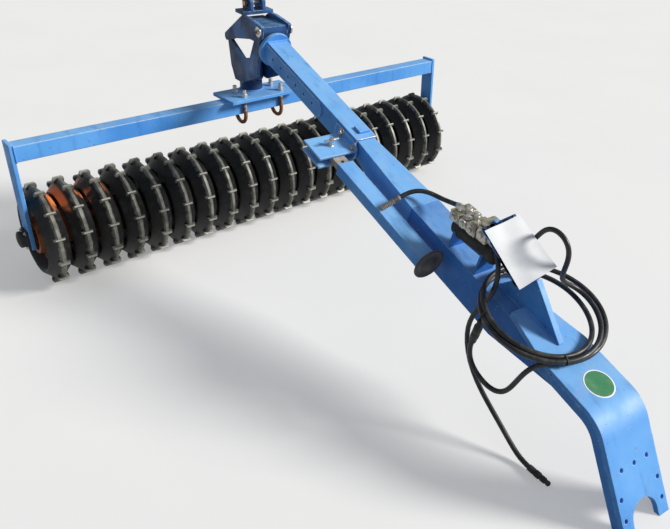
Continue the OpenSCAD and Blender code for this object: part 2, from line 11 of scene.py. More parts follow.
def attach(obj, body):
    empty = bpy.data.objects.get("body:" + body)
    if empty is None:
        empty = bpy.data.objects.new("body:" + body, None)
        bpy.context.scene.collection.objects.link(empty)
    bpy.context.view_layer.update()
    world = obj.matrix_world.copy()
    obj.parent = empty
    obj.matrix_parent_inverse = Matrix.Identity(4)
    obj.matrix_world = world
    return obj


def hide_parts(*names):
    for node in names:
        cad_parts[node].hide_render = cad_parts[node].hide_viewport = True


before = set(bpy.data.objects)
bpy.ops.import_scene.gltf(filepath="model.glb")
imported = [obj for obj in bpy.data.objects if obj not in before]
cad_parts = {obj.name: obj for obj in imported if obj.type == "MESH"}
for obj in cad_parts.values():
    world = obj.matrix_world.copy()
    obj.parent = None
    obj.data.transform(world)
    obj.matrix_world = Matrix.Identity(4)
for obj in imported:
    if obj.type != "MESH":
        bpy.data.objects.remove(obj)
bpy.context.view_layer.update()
random.seed(7)


def moved(x, y, z):
    """A shift in metres, as a matrix."""
    return Matrix.Translation((x, y, z))


def turned(degrees, axis):
    """A turn about one of the axes, as a matrix."""
    return Matrix.Rotation(math.radians(degrees), 4, axis)


# Frames of the object, in metres: upright over the king pin, sloping with the arm from its flange, and tilted with
# the gas bottle and the valve on it.
ARM_SWING, ARM_SLOPE, PACK_TILT = -5, 17, -8
KING = moved(0, 1.574306, 0) @ turned(ARM_SWING, "Z")
ARM = KING @ moved(0, -0.345, 1.210) @ turned(ARM_SLOPE, "X")
PACK = ARM @ moved(-0.020, -1.800, 0.135) @ turned(PACK_TILT, "X")
LEFT, RIGHT, AHEAD = turned(-90, "Y"), turned(90, "Y"), turned(90, "X")
SIDES = ((-1, LEFT), (1, RIGHT))

# Places that several pieces share: the beam and the roller's axis in metres, and the top of the hitch plate in
# millimetres above the arm's axis.
BEAM_Y = 1.494306
ROLLER = Vector((0, 1.514306, 0.291511))
PLATE_LEVEL = 73.7


def at(x, ahead, up):
    """A place in the arm's frame, given in millimetres, as a matrix in metres."""
    return moved(x / 1000, -ahead / 1000, up / 1000)


def arm_point(x, ahead, up):
    """A point of the arm's frame, given in millimetres, in the row frame in metres."""
    return ARM @ Vector((x / 1000, -ahead / 1000, up / 1000))


class Shader:
    """A node material, built from the surface shader outwards."""

    NOISE_ROUGHNESS = 0.55

    def __init__(self, name, **sockets):
        self.material = bpy.data.materials.new(name)
        self.material.use_nodes = True
        self.tree = self.material.node_tree
        self.surface = self.tree.nodes["Principled BSDF"]
        for socket, value in sockets.items():
            self.surface.inputs[socket.replace("_", " ")].default_value = value
        self.coords = self.tree.nodes.new("ShaderNodeTexCoord").outputs
        self.rounded = None

    def node(self, kind, values=(), **settings):
        """A new node with its settings, its sockets fed."""
        made = self.tree.nodes.new("ShaderNode" + kind)
        for key, value in settings.items():
            setattr(made, key, value)
        for socket, value in dict(values).items():
            self.feed(made.inputs[socket], value)
        return made

    def feed(self, socket, value):
        """Links a socket to another one, or sets it to a number or a colour."""
        if isinstance(value, bpy.types.NodeSocket):
            self.tree.links.new(value, socket)
        elif hasattr(value, "__len__") and len(value) == 3 and socket.type == "RGBA":
            socket.default_value = (*value, 1)
        else:
            socket.default_value = value

    def noise(self, scale, detail=4, stretch=(1, 1, 1)):
        """Noise through the object's space, mostly between 0.3 and 0.7."""
        place = self.node("Mapping", {"Vector": self.coords["Object"], "Scale": stretch})
        made = self.node("TexNoise", {"Vector": place.outputs[0], "Scale": scale, "Detail": detail,
                                      "Roughness": self.NOISE_ROUGHNESS})
        return made.outputs["Fac"]

    def range(self, value, low, high, to_low=0.0, to_high=1.0):
        """A value mapped smoothly from one span to another and held at the ends."""
        made = self.node("MapRange", {0: value, 1: low, 2: high, 3: to_low, 4: to_high},
                         interpolation_type="SMOOTHSTEP")
        return made.outputs[0]

    def maths(self, operation, a, b):
        """An operation on two values, held between 0 and 1 unless it subtracts."""
        return self.node("Math", {0: a, 1: b}, operation=operation, use_clamp=operation != "SUBTRACT").outputs[0]

    def times(self, product, *factors):
        """The product of several values."""
        for factor in factors:
            product = self.maths("MULTIPLY", product, factor)
        return product

    def mix(self, factor, a, b):
        """Colour a, and as much of colour b over it as the factor says."""
        made = self.node("Mix", data_type="RGBA")
        self.feed(made.inputs[0], factor)
        self.feed(made.inputs[6], a)
        self.feed(made.inputs[7], b)
        return made.outputs[2]

    def axes(self):
        """The place's X, Y and Z, each by itself."""
        return self.node("SeparateXYZ", {0: self.coords["Object"]}).outputs

    def facing_up(self, low=0.25, high=0.95):
        """1 where the surface looks up, less where it is steeper."""
        split = self.node("SeparateXYZ", {0: self.coords["Normal"]})
        return self.range(split.outputs["Z"], low, high)

    def edges(self, radius, low=0.02, high=0.16):
        """1 along sharp edges, from how far a rounded normal turns away from the face."""
        self.rounded = self.node("Bevel", {"Radius": radius}, samples=4).outputs[0]
        plain = self.node("NewGeometry").outputs["Normal"]
        dot = self.node("VectorMath", {0: self.rounded, 1: plain}, operation="DOT_PRODUCT").outputs["Value"]
        return self.range(self.maths("SUBTRACT", 1.0, dot), low, high)

    def radius(self, centre):
        """Distance from an axis that runs along X through a centre."""
        out = self.node("VectorMath", {0: self.coords["Object"], 1: centre}, operation="SUBTRACT").outputs[0]
        flat = self.node("VectorMath", {0: out, 1: (0, 1, 1)}, operation="MULTIPLY").outputs[0]
        return self.node("VectorMath", {0: flat}, operation="LENGTH").outputs["Value"]

    def bump(self, height, strength, distance):
        """Grain on the surface, over its rounded edges where it has them."""
        made = self.node("Bump", {"Height": height, "Strength": strength, "Distance": distance})
        if self.rounded is not None:
            self.feed(made.inputs["Normal"], self.rounded)
        self.feed(self.surface.inputs["Normal"], made.outputs[0])

    def finish(self, colour, roughness, metallic=None):
        """The material, with what was built fed into its surface."""
        self.feed(self.surface.inputs["Base Color"], colour)
        self.feed(self.surface.inputs["Roughness"], roughness)
        if metallic is not None:
            self.feed(self.surface.inputs["Metallic"], metallic)
        return self.material


# Colours of wear and dirt, of paler upward faces and of the painted edge highlight.
UPWARD_PALE = (0.52, 0.82, 1.0)
GREASE = (0.010, 0.022, 0.055)
DRY_DUST = (0.46, 0.43, 0.38)
SCRATCH = (0.60, 0.74, 0.92)
CHIP = (0.16, 0.085, 0.045)
EDGE_WEAR_AND_HIGHLIGHT = (0.62, 0.80, 0.95)
ORANGE_RUST = (0.72, 0.20, 0.055)
PALE_RUST = (0.48, 0.26, 0.13)
RING_DUST = (0.15, 0.14, 0.13)
LUG_TIP = (0.33, 0.33, 0.29)
CLAMP_STEEL = (0.60, 0.58, 0.54)


def worn_paint_with_edge_highlight(name, deep, faded, edge_mark=0.8, grease=0.0, whole=0.38, edge=0.006):
    """Gloss paint, paler where it looks up, dusty or greasy, scratched, pale at edges: wear and a painted highlight.
    """
    s = Shader(name, Specular_IOR_Level=0.3)
    colour = s.mix(s.range(s.noise(2.4), 0.35, 0.68), deep, faded)
    # Faces that look up are paler, more so in patches.
    pale = tuple(0.72 * c + 0.28 * w for c, w in zip(faded, UPWARD_PALE))
    colour = s.mix(s.times(s.facing_up(), s.range(s.noise(5), 0.2, 0.8, 0.5, 0.95)), colour, pale)
    streaks = s.range(s.noise(7, 6, (3, 1, 0.35)), 0.52, 0.72, 0, 0.30)
    colour = s.mix(streaks, colour, tuple(0.55 * c for c in deep))
    if grease:
        colour = s.mix(s.range(s.noise(6, 7), 0.36, 0.60, 0.2, grease), colour, GREASE)
    else:
        dust = s.times(s.range(s.noise(11, 8), 0.5, 0.75), s.range(s.facing_up(-0.2, 0.9), 0, 1, 0.04, 0.17))
        colour = s.mix(dust, colour, DRY_DUST)
    scratches = s.range(s.noise(26, 3, (9, 1, 4)), 0.69, 0.73, 0, 0.6)
    colour = s.mix(scratches, colour, SCRATCH)
    chips = s.range(s.noise(55, 5), 0.685, 0.72)
    colour = s.mix(chips, colour, CHIP)
    # Pale edges: partly worn paint in patches, partly a painted highlight running along the edges.
    edge_wear_and_highlight = s.times(s.edges(edge), s.range(s.noise(34, 6), whole, whole + 0.24), edge_mark)
    colour = s.mix(edge_wear_and_highlight, colour, EDGE_WEAR_AND_HIGHLIGHT)
    s.bump(s.noise(160, 3), 0.12, 0.0006)
    return s.finish(colour, s.range(s.noise(8, 6), 0.3, 0.75, 0.44, 0.66))


def ring_iron(name):
    """Black casting with a worn crest and lugs, and orange rust near the left end."""
    s = Shader(name, Specular_IOR_Level=0.35)
    radius, place = s.radius(ROLLER), s.axes()
    colour = s.mix(s.range(s.noise(9, 6), 0.35, 0.7), (0.006, 0.006, 0.007), (0.016, 0.016, 0.017))
    inside = s.times(s.range(radius, 0.190, 0.165), s.range(place["X"], -0.90, -1.30, 0.05, 0.45))
    above = s.times(s.range(place["Z"], 0.455, 0.485), s.range(place["X"], -1.08, -1.15),
                    s.range(place["X"], -1.44, -1.40), s.range(radius, 0.262, 0.246))
    rust = s.times(s.range(s.noise(5, 7), 0.44, 0.54), s.maths("ADD", inside, above))
    colour = s.mix(rust, colour, ORANGE_RUST)
    colour = s.mix(s.times(s.range(s.noise(24, 8), 0.50, 0.74), 0.16), colour, RING_DUST)
    reach = s.maths("ADD", radius, s.range(s.noise(34, 6), 0.3, 0.7, -0.008, 0.004))
    worn = s.range(reach, 0.266, 0.280)
    crest = s.mix(s.range(s.noise(18, 6), 0.34, 0.66), (0.09, 0.09, 0.078), (0.235, 0.235, 0.205))
    colour = s.mix(worn, colour, s.mix(s.range(radius, 0.290, 0.297), crest, LUG_TIP))
    s.edges(0.002)
    s.bump(s.noise(120, 5), 0.3, 0.0009)
    return s.finish(colour, s.range(worn, 0, 1, 0.50, 0.44), s.times(worn, 0.2))


def rusted(name, light=(0.36, 0.15, 0.055), dark=(0.10, 0.042, 0.02)):
    """Rough steel in two tones with paler specks."""
    s = Shader(name, Specular_IOR_Level=0.2)
    colour = s.mix(s.range(s.noise(22, 7), 0.32, 0.68), dark, light)
    colour = s.mix(s.range(s.noise(90, 6), 0.6, 0.72, 0, 0.6), colour, PALE_RUST)
    s.edges(0.002)
    s.bump(s.noise(140, 6), 0.5, 0.001)
    return s.finish(colour, s.range(s.noise(30, 4), 0.3, 0.7, 0.7, 0.95))


def plated(name, tint=(0.62, 0.61, 0.58), grime=(0.20, 0.16, 0.12), amount=0.55):
    """Zinc-plated or bare steel with grime in patches."""
    s = Shader(name, Metallic=0.75)
    colour = s.mix(s.times(s.range(s.noise(28, 7), 0.45, 0.68), amount), tint, grime)
    s.edges(0.0015)
    s.bump(s.noise(200, 3, (1, 1, 6)), 0.15, 0.0004)
    return s.finish(colour, s.range(s.noise(18, 5), 0.3, 0.7, 0.28, 0.6))


def bolt_steel(name):
    """Round clamp steel: bright above the beam, rusty below it."""
    s = Shader(name)
    height = s.maths("ADD", s.axes()["Z"], s.range(s.noise(30, 5), 0.3, 0.7, -0.05, 0.05))
    bare = s.range(height, 0.80, 0.87)
    rust = s.mix(s.range(s.noise(50, 6), 0.35, 0.65), (0.13, 0.05, 0.022), (0.36, 0.16, 0.065))
    colour = s.mix(bare, rust, CLAMP_STEEL)
    s.edges(0.0015)
    s.bump(s.noise(150, 5), 0.35, 0.0007)
    return s.finish(colour, s.range(bare, 0, 1, 0.85, 0.4), s.times(bare, 0.8))


def dusty_black(name, base=(0.018, 0.018, 0.019), dust=(0.16, 0.15, 0.135), roughness=0.6, grain=90):
    """A plain dark or coloured surface with dust on what faces up."""
    s = Shader(name, Specular_IOR_Level=0.4)
    amount = s.times(s.range(s.noise(16, 8), 0.45, 0.75), s.range(s.facing_up(-0.4, 1), 0, 1, 0.15, 0.55))
    colour = s.mix(amount, base, dust)
    s.edges(0.002)
    s.bump(s.noise(grain, 4), 0.2, 0.0006)
    return s.finish(colour, s.range(s.noise(12, 5), 0.3, 0.7, roughness - 0.12, roughness + 0.15))


def paper_sheet(name):
    """Blank sheet of printing paper, creased by the weather, tinted a little grey-blue as painted light shade."""
    s = Shader(name)
    colour = s.mix(s.range(s.noise(14, 6), 0.35, 0.75), (0.93, 0.95, 0.98), (0.85, 0.87, 0.91))
    s.bump(s.noise(35, 5), 0.25, 0.0015)
    return s.finish(colour, s.range(s.noise(9), 0.3, 0.7, 0.6, 0.85))


def pale_floor(name):
    """Pale ground, near white as it is seen, which throws back only some of the light."""
    s = Shader(name)
    seen = s.mix(s.range(s.noise(0.7, 3), 0.3, 0.7), (0.58, 0.58, 0.58), (0.60, 0.60, 0.595))
    path = s.node("LightPath").outputs
    looked_at = s.maths("ADD", s.maths("ADD", path["Is Camera Ray"], path["Is Glossy Ray"]),
                        path["Is Transmission Ray"])
    s.feed(s.surface.inputs["Emission Color"], (0.30, 0.30, 0.30))
    s.feed(s.surface.inputs["Emission Strength"], looked_at)
    colour = s.mix(looked_at, (0.34, 0.34, 0.33), seen)
    return s.finish(colour, s.range(s.noise(4), 0.3, 0.7, 0.85, 0.95))


PLAIN_BLUE = (0.060, 0.270, 0.720), (0.120, 0.390, 0.860)
BLUE = worn_paint_with_edge_highlight("blue_paint", *PLAIN_BLUE)
# A darker copy of the blue paint: painted shade on the hitch's walls, the king post's weld and the tray.
SHADED_BLUE = worn_paint_with_edge_highlight("blue_paint_shaded", (0.045, 0.205, 0.600), (0.085, 0.305, 0.740))
# A deeper copy of the blue paint: painted shadow of the valve pack on the front box and the bottle's saddle.
PAINTED_SHADOW_BLUE = worn_paint_with_edge_highlight("blue_paint_painted_shadow", (0.014, 0.125, 0.480), (0.032, 0.200, 0.630))
# Darker blue on the king post and the yoke, which is painted shade, with black grease patches over it.
SHADED_GREASY_BLUE = worn_paint_with_edge_highlight("blue_paint_shaded_greasy", (0.030, 0.130, 0.400), (0.060, 0.230, 0.580), edge_mark=0.7, grease=0.85)
# Blue paint with pale edges that run on: a painted highlight along beam, side plates, bracket and gusset, with some
# wear.
EDGE_HIGHLIGHT_BLUE = worn_paint_with_edge_highlight("blue_paint_edge_highlight", *PLAIN_BLUE, edge_mark=0.95, whole=0.22, edge=0.011)
IRON = ring_iron("ring_iron")
RUST = rusted("rusted_steel")
BRIGHT = plated("plated_steel")
BRASSY = plated("yellow_plated", (0.56, 0.53, 0.40), (0.10, 0.09, 0.07), 0.75)
CRIMP = rusted("crimp_steel", (0.44, 0.41, 0.37), (0.17, 0.15, 0.13))
BOLT = bolt_steel("clamp_steel")
BLACK = dusty_black("black_metal")
GREY = dusty_black("grey_foot", (0.085, 0.085, 0.088), (0.26, 0.25, 0.235), 0.65)
RUBBER = dusty_black("hose_rubber", (0.020, 0.021, 0.023), (0.13, 0.125, 0.12), 0.42, 240)
PAPER = paper_sheet("paper")
GREEN = dusty_black("plain_sticker", (0.045, 0.235, 0.105), (0.20, 0.33, 0.20), 0.5)

# The CAD nodes' looks: what is not listed is plain blue.
LOOKS = [
    (IRON, "rings"),
    (RUST, "roller_tube hose_fitting"),
    (BLACK, "bearings accumulator couplings"),
    (BOLT, "u_bolts"),
    (BRIGHT, "clevis_pin head_pin lug_pin"),
    (BRASSY, "valve_block"),
    (CRIMP, "stand_tongue"),
    (GREY, "stand_foot"),
    (RUBBER, "hose_feed hose_top hose_hang hose_short hose_coil"),
    (SHADED_GREASY_BLUE, "king_post yoke_body yoke_cheeks yoke_clevis"),
    (PAINTED_SHADOW_BLUE, "front_box acc_saddle"),
    (SHADED_BLUE, "hitch_walls"),
    (EDGE_HIGHLIGHT_BLUE, "beam arm_side_plates lug_bracket gusset"),
]
look_of = {node: material for material, nodes in LOOKS for node in nodes.split()}
for name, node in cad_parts.items():
    node.data.materials.clear()
    node.data.materials.append(look_of.get(name, BLUE))


def linked(name, data):
    """A new object in the scene."""
    made = bpy.data.objects.new(name, data)
    bpy.context.scene.collection.objects.link(made)
    return made


def add(name, mesh, body, material, smooth=True, place=None):
    """A mesh as a piece of the object that moves with one of its bodies."""
    made = linked(name, mesh)
    if place is not None:
        made.matrix_world = place
    mesh.materials.append(material)
    if smooth:
        mesh.shade_smooth()
    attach(made, body)
    return made


def piece(name, bm, body, material, smooth=True, place=None):
    """What was built in bm as a piece of the object, with its faces turned outwards."""
    mesh = bpy.data.meshes.new(name)
    bmesh.ops.recalc_face_normals(bm, faces=bm.faces)
    bm.to_mesh(mesh)
    bm.free()
    return add(name, mesh, body, material, smooth, place)


def lathe(bm, profile, place, sides=24):
    """Turns a profile of (radius, height) points round the local Z axis of a matrix into bm."""
    hoops = []
    for radius, height in profile:
        if radius == 0:
            hoops.append([bm.verts.new(place @ Vector((0, 0, height)))])
        else:
            hoops.append([bm.verts.new(place @ Vector((radius * math.cos(a), radius * math.sin(a), height)))
                          for a in (2 * math.pi * i / sides for i in range(sides))])
    for low, high in zip(hoops, hoops[1:]):
        for i in range(sides):
            j = (i + 1) % sides
            if len(low) == 1 and len(high) > 1:
                bm.faces.new((low[0], high[i], high[j]))
            elif len(high) == 1 and len(low) > 1:
                bm.faces.new((low[i], low[j], high[0]))
            elif len(low) > 1:
                bm.faces.new((low[i], low[j], high[j], high[i]))


def aim(point, direction):
    """A matrix at a point whose Z axis points along a direction."""
    return Matrix.Translation(point) @ Vector(direction).to_track_quat("Z", "Y").to_matrix().to_4x4()


# A bolt's shape: the head's height, the washer's height and radius as shares of the width across its flats, and where
# the chamfer starts and how wide its top is as shares of the head's height and corner.
BOLT_HEIGHT, WASHER_HEIGHT, WASHER_RADIUS = 0.62, 0.12, 0.98
CHAMFER_START, CHAMFER_TOP = 0.82, 0.86


def hex_bolt(bm, place, across, height=None, washer=True):
    """A bolt head or nut with a chamfered top and a washer under it, turned at random."""
    height = height or BOLT_HEIGHT * across
    corner = across / 2 / math.cos(math.pi / 6)
    base = 0.0
    if washer:
        base, rim = WASHER_HEIGHT * across, WASHER_RADIUS * across
        lathe(bm, [(0, 0), (rim, 0), (rim, base), (0, base)], place)
    spun = place @ Matrix.Rotation(random.uniform(0, math.pi / 3), 4, "Z")
    lathe(bm, [(0, base), (corner, base), (corner, base + CHAMFER_START * height),
               (CHAMFER_TOP * corner, base + height), (0, base + height)], spun, 6)


def box_into(bm, size, place, bevel=0.003):
    """A block with rounded edges, centred on a matrix."""
    part = bmesh.new()
    bmesh.ops.create_cube(part, size=1, matrix=Matrix.Diagonal((*size, 1)))
    bmesh.ops.bevel(part, geom=part.edges[:], offset=bevel, segments=2, affect="EDGES", profile=0.6)
    part.transform(place)
    mesh = bpy.data.meshes.new("block")
    part.to_mesh(mesh)
    part.free()
    bm.from_mesh(mesh)
    bpy.data.meshes.remove(mesh)


def round_curve(name, line, radius, resolution):
    """A round curve along a line of points, and its spline."""
    curve = bpy.data.curves.new(name, "CURVE")
    curve.dimensions = "3D"
    curve.bevel_depth = radius
    curve.bevel_resolution = resolution
    spline = curve.splines.new("POLY")
    spline.points.add(len(line) - 1)
    for point, place in zip(spline.points, line):
        point.co = (*place, 1)
    return curve, spline


# A weld's ripples: their length, and the shares of its width that they start from, rise by and vary by.
RIPPLE_LENGTH, RIPPLE_LOW, RIPPLE_RISE, RIPPLE_CHANCE = 0.006, 0.82, 0.22, 0.06


def weld(name, points, body, width, material=BLUE, closed=False):
    """A weld bead: a rippled round strip along a line."""
    ends = points + [points[0]] if closed else points
    line = []
    for a, b in zip(ends, ends[1:]):
        a, b = Vector(a), Vector(b)
        steps = max(2, int((b - a).length / RIPPLE_LENGTH))
        line += [a.lerp(b, i / steps) for i in range(steps)]
    line.append(Vector(ends[-1]))
    curve, spline = round_curve(name, line, width, 2)
    for i, point in enumerate(spline.points):
        point.radius = RIPPLE_LOW + RIPPLE_RISE * (i % 2) + random.uniform(-RIPPLE_CHANCE, RIPPLE_CHANCE)
    made = linked(name, curve)
    bpy.context.view_layer.update()
    mesh = bpy.data.meshes.new_from_object(made)
    bpy.data.objects.remove(made)
    mesh.materials.clear()
    return add(name, mesh, body, material)


# Hoses: routes chosen along the photograph's hoses, in millimetres of the arm's frame.
HOSE_D = 0.0235
HOSE_FEED = [(10, 1784, 208), (25, 1715, 170), (30, 1645, 132), (30, 1590, 113), (17, 1540, 104), (-17, 1504, 96),
             (-62, 1490, 86), (-111, 1490, 67)]
HOSE_TOP = [(5, 2032, 240), (9, 2057, 243), (20, 2081, 247), (39, 2103, 251), (65, 2123, 260), (88, 2140, 280),
            (102, 2150, 309), (107, 2157, 346), (109, 2174, 381), (111, 2203, 404), (112, 2240, 412),
            (114, 2277, 404), (117, 2306, 381), (119, 2323, 346), (122, 2328, 306), (126, 2328, 266),
            (137, 2326, 226), (158, 2325, 190), (190, 2327, 162), (226, 2337, 142), (255, 2361, 128),
            (271, 2397, 119)]
HOSE_HANG = [(-45, 2032, 240), (-55, 2066, 250), (-72, 2108, 252), (-90, 2152, 232), (-102, 2184, 190),
             (-107, 2198, 140), (-108, 2200, 85), (-114, 2180, 10), (-142, 2165, -75), (-163, 2185, -152),
             (-178, 2270, -265), (-186, 2410, -325), (-189, 2545, -352), (-190, 2670, -398), (-191, 2735, -407),
             (-192, 2790, -393)]
HOSE_SHORT = [(-85, 2621, 87), (-128, 2602, 87), (-167, 2581, 75), (-197, 2565, 42), (-209, 2558, -5),
              (-216, 2552, -52), (-222, 2546, -100), (-229, 2532, -144), (-235, 2500, -177), (-239, 2456, -190),
              (-240, 2420, -192), (-240, 2384, -190), (-240, 2337, -178), (-240, 2303, -143), (-240, 2290, -98),
              (-240, 2290, -77)]

# The coil: its ring in millimetres, and its winding in degrees along the hose from start to end. One strand lies
# loose outside the others and one inside them, each round an angle of its own.
COIL_CENTRE, COIL_RADIUS, COIL_LEVEL = (20, 2380), 262, PLATE_LEVEL + 26
COIL_START, COIL_END, COIL_STEP = 14, 818, 12
STRAND_GAP = 13.8
LOOSE_OUT, LOOSE_OUT_AT = 38, 734
LOOSE_IN, LOOSE_IN_AT = 24, 374
LOOSE_SPREAD = 55


def smoothed(points, steps=3):
    """Points along a smooth curve through the given ones."""
    points = [Vector(p) for p in points]
    line = []
    for i in range(len(points) - 1):
        a, b, c, d = (points[max(i - 1, 0)], points[i], points[i + 1], points[min(i + 2, len(points) - 1)])
        for k in range(steps):
            s = k / steps
            line.append((2 * b + (c - a) * s + (2 * a - 5 * b + 4 * c - d) * s * s
                         + (3 * b - a - 3 * c + d) * s ** 3) / 2)
    return line + [points[-1]]


def eased(line, rounds=8):
    """The same line with its bends spread out, ends held."""
    for _ in range(rounds):
        inner = [(a + 2 * b + c) / 4 for a, b, c in zip(line, line[1:], line[2:])]
        line = [line[0]] + inner + [line[-1]]
    return line


def strand(angle):
    """How far out and up from the coil's middle line its strand lies at an angle along the winding."""
    lay = math.radians(90 - (angle - COIL_START) * 2 / 3)
    loose = (LOOSE_OUT * math.exp(-((angle - LOOSE_OUT_AT) / LOOSE_SPREAD) ** 2)
             - LOOSE_IN * math.exp(-((angle - LOOSE_IN_AT) / LOOSE_SPREAD) ** 2))
    return STRAND_GAP * math.cos(lay) + loose, STRAND_GAP * math.sin(lay)


def coil_turns():
    """A hose wound round the coil's ring, its strands laid about each other."""
    turns = []
    for angle in range(COIL_START, COIL_END + 1, COIL_STEP):
        a, (out, up) = math.radians(angle), strand(angle)
        ring = COIL_RADIUS + out
        turns.append((COIL_CENTRE[0] + ring * math.cos(a), COIL_CENTRE[1] + ring * math.sin(a), COIL_LEVEL + up))
    return turns


def hose_line(points):
    """The line of a hose through the points of its route, in the row frame in metres."""
    return [arm_point(*p) for p in eased(smoothed(points))]


def hose(name, line, nodes):
    """A free hose along a line of points, in place of its solids."""
    curve, spline = round_curve(name, line, HOSE_D / 2, 5)
    curve.use_fill_caps = True
    spline.use_smooth = True
    curve.materials.append(RUBBER)
    made = linked(name, curve)
    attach(made, "arm")
    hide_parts(*nodes)


feed_line = hose_line(HOSE_FEED)
coil_line = hose_line(HOSE_TOP + coil_turns() + HOSE_SHORT)
hang_line = hose_line(HOSE_HANG)

# Rings: wide V-shaped rims with a cross lug at every twelfth of a turn, fuller than the solids. RIM is one half of a
# ring's section as (distance from the middle, radius), LUG a lug's outline as (distance from the middle, radius,
# half of its thickness), all in millimetres.
RIM = [(60, 84.3), (60, 103.5), (11, 112), (9.5, 184), (52, 202), (63, 211), (66, 221), (55, 232), (38, 247),
       (25, 262), (16, 274), (11, 282), (7, 287)]
LUG = [(-28, 262, 9), (-33, 280, 7.5), (-30, 290, 6), (-23, 298.5, 4.5), (23, 298.5, 4.5), (30, 290, 6),
       (33, 280, 7.5), (28, 262, 9)]
RINGS, PITCH, LUGS, STEPS = 20, 153, 12, 72


def ring_point(x, radius, along, angle):
    """A point of the roller from a place along it, a radius, a distance along the rim and an angle, in metres."""
    y, z = along * math.cos(angle) - radius * math.sin(angle), along * math.sin(angle) + radius * math.cos(angle)
    return Vector((x / 1000, ROLLER.y + y / 1000, ROLLER.z + z / 1000))


profile = RIM + [(-x, r) for x, r in reversed(RIM)]
verts, faces = [], []
for ring in range(RINGS):
    middle = (ring - (RINGS - 1) / 2) * PITCH
    first, count = len(verts), len(profile)
    for i in range(STEPS):
        verts += [ring_point(middle + x, r, 0, 2 * math.pi * i / STEPS) for x, r in profile]
    faces += [(first + i * count + k, first + i * count + (k + 1) % count,
               first + (i + 1) % STEPS * count + (k + 1) % count, first + (i + 1) % STEPS * count + k)
              for i in range(STEPS) for k in range(count)]
    for i in range(LUGS):
        first, count = len(verts), len(LUG)
        angle = 2 * math.pi * (i + 0.5) / LUGS
        for side in (-1, 1):
            verts += [ring_point(middle + x, r, side * half, angle) for x, r, half in LUG]
        faces += [tuple(range(first, first + count)), tuple(range(first + 2 * count - 1, first + count - 1, -1))]
        faces += [(first + k, first + count + k, first + count + (k + 1) % count, first + (k + 1) % count)
                  for k in range(count)]
mesh = bpy.data.meshes.new("ring_shell")
mesh.from_pydata(verts, [], faces)
shell = bmesh.new()
shell.from_mesh(mesh)
bpy.data.meshes.remove(mesh)
rings = piece("packer_rings", shell, "roller", IRON)
rings.data.set_sharp_from_angle(angle=math.radians(38))
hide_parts("rings")

# Roller ends: bolted bearing housings with a cap over each shaft and a nipple on top.
BEARING_FACE, HOUSING_BOLT, NIPPLE = 1.5485, 0.013, 0.009
BEARING_CAP = [(0.046, 0.042), (0.044, 0.046), (0.036, 0.047), (0.034, 0.050), (0.018, 0.053), (0, 0.054)]
bolts, caps = bmesh.new(), bmesh.new()
for side, turn in SIDES:
    outer = moved(side * BEARING_FACE, ROLLER.y, ROLLER.z)
    for y in (-0.034, 0.034):
        for z in (-0.044, 0.044):
            hex_bolt(bolts, outer @ moved(side * 0.014, y, z) @ turn, HOUSING_BOLT)
    lathe(caps, BEARING_CAP, outer @ turn, 40)
    hex_bolt(bolts, outer @ moved(side * 0.024, 0, 0.047), NIPPLE, washer=False)
piece("bearing_bolts", bolts, "press_frame", BRIGHT, False)
piece("bearing_caps", caps, "press_frame", BLACK)

# Clamp: threads on the bolts' upper ends, and welds round the king post and at the beam's ends.
THREAD_PITCH, THREAD_TURNS, THREAD_FOOT = 0.0026, 9, 0.897
thread = [(0.0122, 0.0)]
for i in range(THREAD_TURNS):
    thread += [(0.0128, 0.0015 + THREAD_PITCH * i), (0.0112, 0.0028 + THREAD_PITCH * i)]
thread += [(0.0105, 0.0245), (0, 0.0246)]
threads = bmesh.new()
for x in (-0.135, 0.135):
    for y in (-0.059, 0.059):
        lathe(threads, thread, moved(x, BEAM_Y + y, THREAD_FOOT), 20)
piece("clamp_threads", threads, "press_frame", BRIGHT)
POST_RADIUS, POST_BACK, POST_FOOT, POST_STEPS = 0.073, 0.080, 0.8765, 48
around = [2 * math.pi * i / POST_STEPS for i in range(POST_STEPS)]
weld("post_weld", [(POST_RADIUS * math.cos(a), BEAM_Y + POST_BACK + POST_RADIUS * math.sin(a), POST_FOOT)
                   for a in around], "press_frame", 0.006, SHADED_BLUE, True)
for name, x in (("end_weld_left", -1.5265), ("end_weld_right", 1.5265)):
    y0, y1, z0, z1 = BEAM_Y - 0.046, BEAM_Y + 0.046, 0.764, 0.856
    weld(name, [(x, y0, z0), (x, y0, z1), (x, y1, z1), (x, y1, z0)], "press_frame", 0.005, BLUE, True)

# Swivel head: nuts on the cross pin, washers and split pins on the clevis pin.
CROSS_PIN, CLEVIS_PIN = (-0.352, 1.320), (-0.105, 1.436)
head = bmesh.new()
for side, turn in SIDES:
    hex_bolt(head, moved(side * 0.108, *CROSS_PIN) @ turn, 0.022, 0.010, washer=False)
    lathe(head, [(0.017, 0), (0.026, 0), (0.026, 0.004), (0.017, 0.004)], moved(side * 0.062, *CLEVIS_PIN) @ turn)
    lathe(head, [(0, -0.024), (0.003, -0.022), (0.003, 0.022), (0, 0.024)], moved(side * 0.069, *CLEVIS_PIN), 10)
piece("head_nuts", head, "yoke", RUST, False, KING)


def girth(half, ahead, low, high):
    """Corners of a line round the arm, from the lower left over the top to the lower right."""
    return [arm_point(x, ahead, up) for x, up in ((-half, low), (-half, high), (half, high), (half, low))]


# Arm: welds at the flange, the gusset and the box, a bright bead on the sleeve's end as partly wear and partly a
# painted highlight of its edge, the bracket's bolts and a raised block.
GUSSET_FOOT = [(2140, 51), (2308, 51), (2312, 75), (2536, 75)]
weld("flange_weld", girth(63, 24, -61, 61), "arm", 0.006, BLUE, True)
